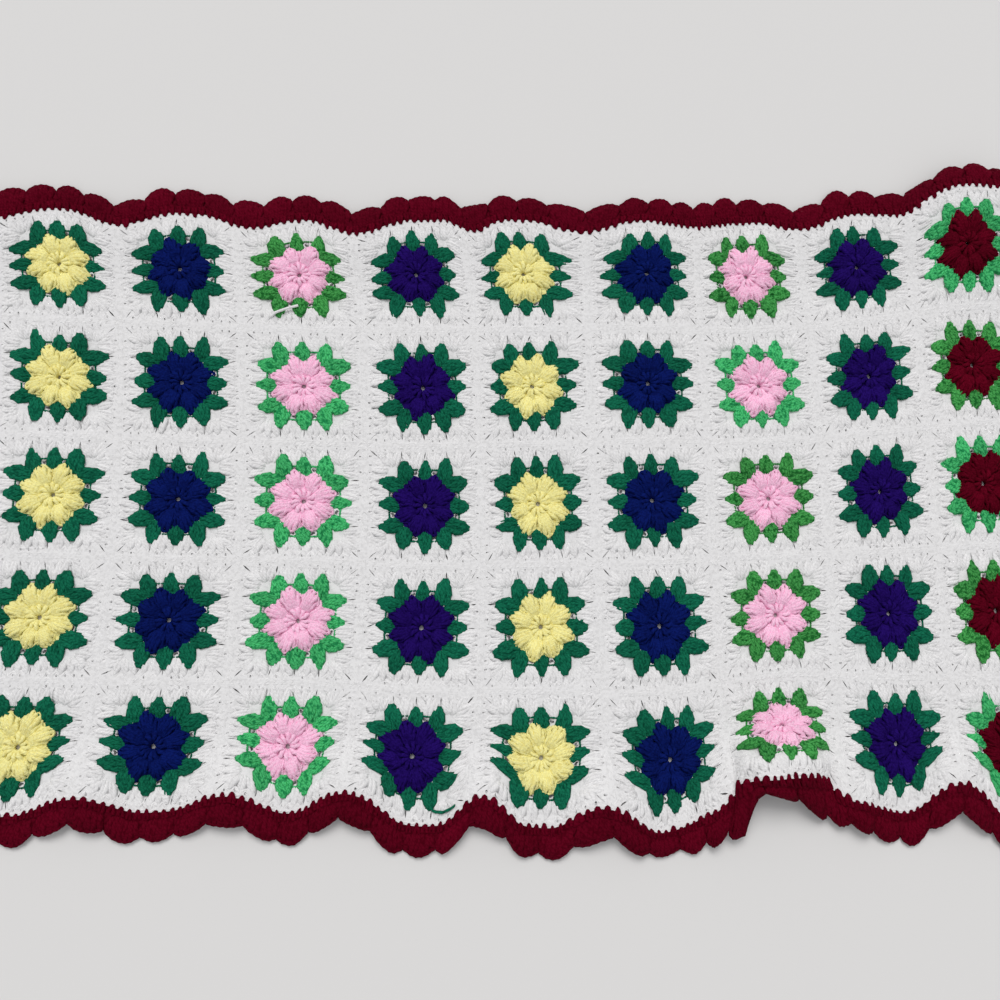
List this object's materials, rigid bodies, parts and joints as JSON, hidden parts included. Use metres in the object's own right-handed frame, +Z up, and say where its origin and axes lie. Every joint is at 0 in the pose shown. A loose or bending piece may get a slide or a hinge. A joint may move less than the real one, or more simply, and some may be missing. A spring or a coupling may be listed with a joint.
{
  "type": "granny square blanket",
  "caption": "Crocheted granny square blanket with raised puff flowers in several colours, white grounds and a dark red scalloped border, lying flat with wavy long edges.",
  "frame": {"origin": "The middle of the blanket's box, on the surface that it lies on.", "axes": "+X runs along the blanket, +Y across it towards the edge at the top of the picture, and +Z is up."},
  "size_m": [1.1714, 0.6644, 0.0379],
  "materials": {
    "white_yarn": "matte acrylic yarn",
    "dark_red_yarn": "matte acrylic yarn"
  },
  "bodies": {
    "root": {"square_c0_r1": "white_yarn", "square_c0_r2": "white_yarn", "square_c0_r3": "white_yarn", "square_c0_r4": "white_yarn", "square_c0_r5": "white_yarn", "square_c1_r1": "white_yarn", "square_c1_r2": "white_yarn", "square_c1_r3": "white_yarn", "square_c1_r4": "white_yarn", "square_c1_r5": "white_yarn", "square_c2_r1": "white_yarn", "square_c2_r2": "white_yarn", "square_c2_r3": "white_yarn", "square_c2_r4": "white_yarn", "square_c2_r5": "white_yarn", "square_c3_r1": "white_yarn", "square_c3_r2": "white_yarn", "square_c3_r3": "white_yarn", "square_c3_r4": "white_yarn", "square_c3_r5": "white_yarn", "square_c4_r1": "white_yarn", "square_c4_r2": "white_yarn", "square_c4_r3": "white_yarn", "square_c4_r4": "white_yarn", "square_c4_r5": "white_yarn", "square_c5_r1": "white_yarn", "square_c5_r2": "white_yarn", "square_c5_r3": "white_yarn", "square_c5_r4": "white_yarn", "square_c5_r5": "white_yarn", "square_c6_r1": "white_yarn", "square_c6_r2": "white_yarn", "square_c6_r3": "white_yarn", "square_c6_r4": "white_yarn", "square_c6_r5": "white_yarn", "square_c7_r1": "white_yarn", "square_c7_r2": "white_yarn", "square_c7_r3": "white_yarn", "square_c7_r4": "white_yarn", "square_c7_r5": "white_yarn", "square_c8_r1": "white_yarn", "square_c8_r2": "white_yarn", "square_c8_r3": "white_yarn", "square_c8_r4": "white_yarn", "square_c8_r5": "white_yarn", "square_c9_r1": "white_yarn", "square_c9_r2": "white_yarn", "square_c9_r3": "white_yarn", "square_c9_r4": "white_yarn", "square_c9_r5": "white_yarn", "border": "dark_red_yarn"}
  },
  "joints": []
}
